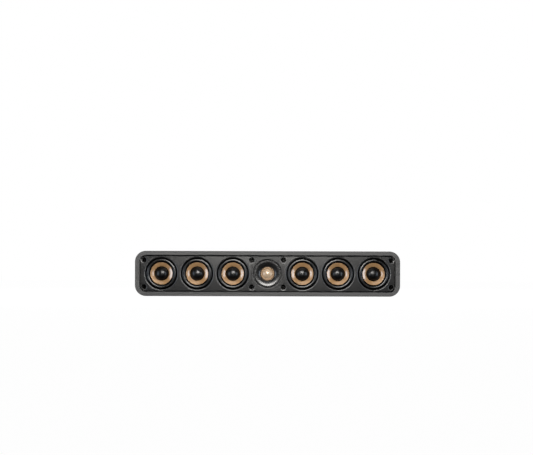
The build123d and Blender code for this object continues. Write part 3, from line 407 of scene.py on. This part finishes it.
def edge_rubber():
    """Black butyl rubber with a faint bloom, shiny on the crest of its roll and dull beside it."""
    look = Look("edge_rubber")
    bloom = look.noise(160.0)
    look.set(Base_Color=look.ramp(bloom, (0.3, grey(0.001)), (0.7, grey(0.002))))
    from_crest = look.math("ABSOLUTE", look.math("SUBTRACT", look.from_woofer()[2], CREST_RADIUS))
    shine = look.span(from_crest, 0.85, 0.02, CREST_SHINE, CREST_DULL)
    look.set(Roughness=look.span(bloom, 0.27, 0.33), Specular_IOR_Level=shine)
    return look.bump(look.noise(1800.0, detail=2.0), 0.000006, 0.4)


def cloth(name, dark, light, pitch, sheen):
    """Plain weave; pitch is the spacing of the threads in metres."""
    look = Look(name)
    weave = look.math("MULTIPLY", look.bands(pitch, "X"), look.bands(pitch, "Z"))
    look.set(Base_Color=look.ramp(weave, (0.0, dark), (0.8, light)), Roughness=0.48)
    look.set(Sheen_Weight=sheen)
    return look.bump(weave, WEAVE_RISE * pitch, 0.5)


def silk_dome():
    """Coated silk diaphragm: a gold weave under a glossy damping skin, with a plain dull roll round it."""
    look = cloth("gold_cloth", (0.46, 0.33, 0.215), (0.58, 0.44, 0.30), 0.0003, 0.0)
    distance = look.from_tweeter()[2]
    roll = look.span(distance, 0.0, 1.0, DOME_RADIUS - EDGE_SOFTNESS, DOME_RADIUS + EDGE_SOFTNESS)
    look.set(Base_Color=look.mix(roll, look.fed("Base Color"), (0.34, 0.22, 0.125, 1)))
    look.set(Coat_Weight=look.span(roll, 1.0, 0.1), Coat_Roughness=0.20)
    return look.set(Metallic=0.25, Roughness=look.span(roll, 0.34, 0.55))


def metal(name, dark, light, roughness, scale=600.0, stretch=(1, 1, 1)):
    """Bare or plated metal with faint tool marks."""
    look = Look(name)
    marks = look.noise(scale, stretch)
    look.set(Base_Color=look.ramp(marks, (0.3, dark), (0.7, light)), Metallic=1.0)
    look.set(Roughness=look.span(marks, roughness - 0.05, roughness + 0.08))
    return look.bump(marks, 0.00002, 0.3)


def painted(name, colour, roughness, scale, depth):
    """Sprayed paint with a light orange peel."""
    look = Look(name)
    peel = look.noise(scale, detail=2.0)
    darker = tuple(0.8 * c for c in colour)
    lighter = tuple(1.2 * c for c in colour)
    look.set(Base_Color=look.ramp(peel, (0.3, darker), (0.7, lighter)))
    look.set(Roughness=look.span(look.noise(200.0), roughness - 0.05, roughness + 0.05))
    return look.bump(peel, depth, 0.5)


def fibres(name, dark, light, scale, depth):
    """Pressed or loose fibres."""
    look = Look(name)
    mat = look.math("MULTIPLY", look.cells(scale, (1, 0.3, 1)), look.noise(scale / 2, detail=6.0, rough=0.7))
    look.set(Base_Color=look.ramp(mat, (0.1, dark), (0.5, light)), Roughness=0.85)
    return look.bump(mat, depth, 0.7)


def winding(name, dark, light, pitch, axis):
    """Turns of enamelled wire."""
    look = Look(name)
    turns = look.bands(pitch, axis)
    look.set(Base_Color=look.ramp(turns, (0.1, dark), (0.7, light)), Metallic=0.9, Roughness=0.35)
    return look.bump(turns, 0.0002, 0.8)


LOOKS = {
    "cabinet_wrap": cabinet_wrap(),
    "front_trim": center_trim(),
    "waveguide": waveguide(),
    "gold_cone": gold_cone(),
    "cap_gloss": cap_gloss(),
    "edge_rubber": edge_rubber(),
    "gold_cloth": silk_dome(),
    "spider_cloth": cloth("spider_cloth", (0.34, 0.22, 0.07), (0.62, 0.44, 0.18), 0.0008, 0.1),
    "black_plastic": moulded("black_plastic", (0.024, 0.024, 0.025), 0.42, 0.00008, 1500.0),
    "red_plastic": moulded("red_plastic", (0.52, 0.025, 0.022), 0.24, 0.00001),
    "cap_plastic": moulded("cap_plastic", (0.018, 0.018, 0.019), 0.24, 0.00001),
    "capacitor_film": moulded("capacitor_film", (0.06, 0.10, 0.28), 0.25, 0.00001),
    "lead_sheath": moulded("lead_sheath", (0.05, 0.05, 0.05), 0.45),
    "dark_screw": metal("dark_screw", grey(0.010), grey(0.028), 0.24, 1200.0),
    "gilt_metal": metal("gilt_metal", (0.72, 0.50, 0.20), (0.88, 0.68, 0.34), 0.20),
    "zinc_plate": metal("zinc_plate", (0.45, 0.46, 0.48), (0.62, 0.63, 0.65), 0.34, 300.0, (1, 1, 12)),
    "motor_steel": metal("motor_steel", (0.34, 0.35, 0.37), (0.50, 0.51, 0.53), 0.38),
    "copper_wire": winding("copper_wire", (0.36, 0.13, 0.05), (0.80, 0.40, 0.20), 0.0005, "Z"),
    "black_steel": painted("black_steel", grey(0.012), 0.25, 900.0, 0.00001),
    "back_board": painted("back_board", grey(0.014), 0.50, 700.0, 0.00006),
    "fibre_board": fibres("fibre_board", (0.16, 0.08, 0.03), (0.30, 0.18, 0.09), 1200.0, 0.00005),
    "wadding": fibres("wadding", (0.62, 0.62, 0.60), (0.86, 0.86, 0.84), 260.0, 0.002),
}
SIDE_TRIM = side_trim()
for part in frame["record"]["subparts"]:
    node = part["node"]
    look = SIDE_TRIM if node in ("left_trim", "right_trim") else LOOKS[part["material_slot"]]
    for slot in frame["nodes"][node].material_slots:
        slot.material = look.material


def ring_mesh(name, profile, center, base_y, look):
    """Closed ring about a driver's axis, from (radius, height) points in millimetres; height goes to -Y."""
    count = len(profile)
    angles = np.linspace(0, 2 * math.pi, RING_SEGMENTS, endpoint=False)
    points = []
    for angle in angles:
        for radius, height in profile:
            x = center[0] + radius * MM * math.cos(angle)
            z = center[1] + radius * MM * math.sin(angle)
            points.append((x, base_y - height * MM, z))
    faces = []
    for i in range(RING_SEGMENTS):
        here = i * count
        there = (i + 1) % RING_SEGMENTS * count
        for k in range(count):
            step = (k + 1) % count
            faces.append((here + k, here + step, there + step, there + k))
    mesh = bpy.data.meshes.new(name)
    mesh.from_pydata(points, [], faces)
    mesh.validate()
    mesh.materials.append(look.material)
    mesh.polygons.foreach_set("use_smooth", [True] * len(mesh.polygons))
    mesh.set_sharp_from_angle(angle=SHARP_EDGE)
    piece = bpy.data.objects.new(name, mesh)
    bpy.context.collection.objects.link(piece)
    return piece


def roll_arc(radius, start, stop):
    """Points of the half roll about its middle."""
    middle = (ROLL_INNER + ROLL_OUTER) / 2
    turns = np.linspace(start, stop, ROLL_STEPS)
    return [(middle + radius * math.cos(t), radius * math.sin(t)) for t in turns]


def surround_profile():
    """Half roll with a glued foot on each side, the inner one with a rounded edge."""
    half = (ROLL_OUTER - ROLL_INNER) / 2
    thick = SURROUND_THICKNESS
    inside = roll_arc(half - thick / 2, math.pi, 0)
    outside = [p for p in roll_arc(half + thick / 2, 0, math.pi) if p[1] > thick]
    outer_foot = [(SURROUND_OUTER, 0), (SURROUND_OUTER, thick)]
    inner_foot = [(SURROUND_INNER + step, share * thick) for step, share in FOOT_EDGE]
    return inside + outer_foot + outside + inner_foot


def spider_profile():
    """Corrugated ring, flat at both edges."""
    first, last = SPIDER_ROLLS
    radii = [SPIDER_INNER] + list(np.linspace(first, last, SPIDER_STEPS)) + [SPIDER_OUTER]
    turn = 2 * math.pi * SPIDER_WAVES / (last - first)
    heights = [SPIDER_HEIGHT * math.sin((r - first) * turn) for r in radii]
    heights[0] = heights[-1] = 0.0
    under = list(zip(radii, heights))
    over = [(r, h + SPIDER_THICKNESS) for r, h in reversed(under)]
    return under + over


def hang(piece, number, center, inner, outer):
    """Bakes the ring's place into its mesh."""
    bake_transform(piece)


for number in WOOFERS:
    low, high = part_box(f"woofer_{number}_surround")
    center = ((low.x + high.x) / 2, (low.z + high.z) / 2)
    surround = ring_mesh(f"surround_{number}", surround_profile(), center, high.y, LOOKS["edge_rubber"])
    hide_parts(f"woofer_{number}_surround")
    hang(surround, number, center, ROLL_INNER, ROLL_OUTER)
    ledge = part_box(f"woofer_{number}_spider")[1].y - SPIDER_HEIGHT * MM
    spider = ring_mesh(f"spider_{number}", spider_profile(), center, ledge, LOOKS["spider_cloth"])
    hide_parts(f"woofer_{number}_spider")
    hang(spider, number, center, *SPIDER_ROLLS)

# Studio: white floor and background, soft boxes in front, above and behind, a strip over the front edge,
# two cool side strips, and dark flags in front that only reflections see
FLOOR_SIZE = 12.0
FLOOR_DROP = 0.0002
FLOOR_SHADE = 0.2
FLOOR_ROUGHNESS = 0.9
FLOOR_GLOW = 1.09
FLOOR_GLOW_SHARE = 0.9
FRONT_BOX_PLACE = (0.0, -0.85, 0.335)
FRONT_BOX_SIZE = (0.46, 0.22)
FRONT_BOX_POWER = 6.8
FRONT_BOX_COLOUR = (1.0, 0.975, 0.945)
TOP_BOX_PLACE = (0.0, -0.45, 0.85)
TOP_BOX_SIZE = (0.9, 0.35)
TOP_BOX_POWER = 0.9
EDGE_STRIP_PLACE = (0.0, -0.13, 0.75)
EDGE_STRIP_SIZE = (0.9, 0.05)
EDGE_STRIP_POWER = 1.5
SIDE_STRIP_PLACE = (1.7, -0.98, 0.06)
SIDE_STRIP_SIZE = (0.5, 1.35)
SIDE_STRIP_POWER = 10.5
SIDE_STRIP_COLOUR = (0.82, 0.93, 1.08)
BACK_BOX_PLACE = (0.0, 1.1, 0.75)
BACK_BOX_SIZE = (1.1, 0.5)
BACK_BOX_POWER = 14.0
FILL_LEVEL = 0.10
FLAG_RADIUS = 2.2
FLAG_REACH = math.radians(85)
FLAG_HEIGHT = 1.5
FLAG_PANELS = 12
FLAG_SHADE = 0.02
CAMERA_DISTANCE = 2.7
SENSOR = 36.0


def plane(name, points, shader):
    """One flat stage face."""
    mesh = bpy.data.meshes.new(name)
    mesh.from_pydata(points, [], [tuple(range(len(points)))])
    mesh.materials.append(shader)
    made = bpy.data.objects.new(name, mesh)
    bpy.context.collection.objects.link(made)
    return made


def seen_ray(tree):
    """1 for rays that show the background: from the camera, or by way of gloss or glass."""
    path = tree.nodes.new("ShaderNodeLightPath")
    total = path.outputs["Is Camera Ray"]
    for name in ("Is Glossy Ray", "Is Transmission Ray"):
        larger = tree.nodes.new("ShaderNodeMath")
        larger.operation = "MAXIMUM"
        tree.links.new(total, larger.inputs[0])
        tree.links.new(path.outputs[name], larger.inputs[1])
        total = larger.outputs[0]
    return total


def floor_material():
    """Pale floor that keeps a faint shadow."""
    material = bpy.data.materials.new("floor")
    material.use_nodes = True
    tree = material.node_tree
    shader = tree.nodes["Principled BSDF"]
    shader.inputs["Base Color"].default_value = (*grey(FLOOR_SHADE), 1)
    shader.inputs["Roughness"].default_value = FLOOR_ROUGHNESS
    glow = tree.nodes.new("ShaderNodeEmission")
    glow.inputs["Strength"].default_value = FLOOR_GLOW
    share = tree.nodes.new("ShaderNodeMath")
    share.operation = "MULTIPLY"
    share.inputs[1].default_value = FLOOR_GLOW_SHARE
    tree.links.new(seen_ray(tree), share.inputs[0])
    mix = tree.nodes.new("ShaderNodeMixShader")
    tree.links.new(share.outputs[0], mix.inputs[0])
    tree.links.new(shader.outputs[0], mix.inputs[1])
    tree.links.new(glow.outputs[0], mix.inputs[2])
    tree.links.new(mix.outputs[0], tree.nodes["Material Output"].inputs["Surface"])
    return material


def flag_material():
    material = bpy.data.materials.new("flag")
    material.use_nodes = True
    shader = material.node_tree.nodes["Principled BSDF"]
    shader.inputs["Base Color"].default_value = (*grey(FLAG_SHADE), 1)
    shader.inputs["Roughness"].default_value = 1.0
    shader.inputs["Specular IOR Level"].default_value = 0.0
    return material


def flag(name, points, shader):
    """A dark card that only reflections see."""
    card = plane(name, points, shader)
    card.visible_camera = False
    card.visible_diffuse = False
    card.visible_shadow = False


def rectangle(low_x, high_x, low_y, high_y, z):
    return [(low_x, low_y, z), (high_x, low_y, z), (high_x, high_y, z), (low_x, high_y, z)]


half = FLOOR_SIZE / 2
floor = plane("floor", rectangle(-half, half, -half, half, -FLOOR_DROP), floor_material())
floor.visible_glossy = False
floor.visible_shadow = False

dark_card = flag_material()
turns = np.linspace(-FLAG_REACH, FLAG_REACH, FLAG_PANELS + 1)
bend = [(FLAG_RADIUS * math.sin(t), -FLAG_RADIUS * math.cos(t)) for t in turns]
for i, (a, b) in enumerate(zip(bend, bend[1:])):
    corners = [(*a, -FLAG_HEIGHT), (*b, -FLAG_HEIGHT), (*b, FLAG_HEIGHT), (*a, FLAG_HEIGHT)]
    flag(f"front_flag_{i}", corners, dark_card)
for name, height in (("low_flag", -FLAG_HEIGHT), ("top_flag", FLAG_HEIGHT)):
    flag(name, rectangle(-FLAG_RADIUS, FLAG_RADIUS, -FLAG_RADIUS, 0, height), dark_card)


def lamp(name, place, size, power, colour=(1, 1, 1), target=cad_low.y):
    """Rectangular soft light aimed at the middle of the speaker's front, or of its back."""
    data = bpy.data.lights.new(name, "AREA")
    data.shape = "RECTANGLE"
    data.size, data.size_y = size
    data.energy = power
    data.color = colour
    made = bpy.data.objects.new(name, data)
    bpy.context.collection.objects.link(made)
    made.location = place
    made.visible_camera = False
    aim = Vector((0, target, MID_HEIGHT)) - made.location
    made.rotation_euler = aim.to_track_quat("-Z", "Y").to_euler()


lamp("front_box", FRONT_BOX_PLACE, FRONT_BOX_SIZE, FRONT_BOX_POWER, FRONT_BOX_COLOUR)
lamp("top_box", TOP_BOX_PLACE, TOP_BOX_SIZE, TOP_BOX_POWER)
lamp("edge_strip", EDGE_STRIP_PLACE, EDGE_STRIP_SIZE, EDGE_STRIP_POWER)
for side in (-1, 1):
    place = (side * SIDE_STRIP_PLACE[0], *SIDE_STRIP_PLACE[1:])
    lamp(f"side_strip_{side}", place, SIDE_STRIP_SIZE, SIDE_STRIP_POWER, SIDE_STRIP_COLOUR)
lamp("back_box", BACK_BOX_PLACE, BACK_BOX_SIZE, BACK_BOX_POWER, target=cad_high.y)

# Background: white where it is seen, a low fill for the rest
world = bpy.data.worlds.new("studio")
bpy.context.scene.world = world
world.use_nodes = True
sky = world.node_tree.nodes["Background"]
sky.inputs["Color"].default_value = (1, 1, 1, 1)
level = world.node_tree.nodes.new("ShaderNodeMapRange")
level.inputs["To Min"].default_value = FILL_LEVEL
level.inputs["To Max"].default_value = 1.0
world.node_tree.links.new(seen_ray(world.node_tree), level.inputs["Value"])
world.node_tree.links.new(level.outputs["Result"], sky.inputs["Strength"])

# Camera: square on to the front, at mid height
view = bpy.data.cameras.new("camera")
view.sensor_width = SENSOR
view.lens = SENSOR * CAMERA_DISTANCE * CABINET_PIXELS / (CABINET_WIDTH * PHOTO_WIDTH)
view.shift_x = (PHOTO_WIDTH / 2 - CABINET_CENTER_PIXEL[0]) / PHOTO_WIDTH
view.shift_y = (CABINET_CENTER_PIXEL[1] - PHOTO_HEIGHT / 2) / PHOTO_WIDTH
camera = bpy.data.objects.new("camera", view)
bpy.context.collection.objects.link(camera)
camera.location = (0, cad_low.y - CAMERA_DISTANCE, MID_HEIGHT)
camera.rotation_euler = (math.pi / 2, -PHOTO_ROLL, 0)
bpy.context.scene.camera = camera
bpy.context.scene.view_settings.view_transform = "Standard"

bpy.context.view_layer.update()
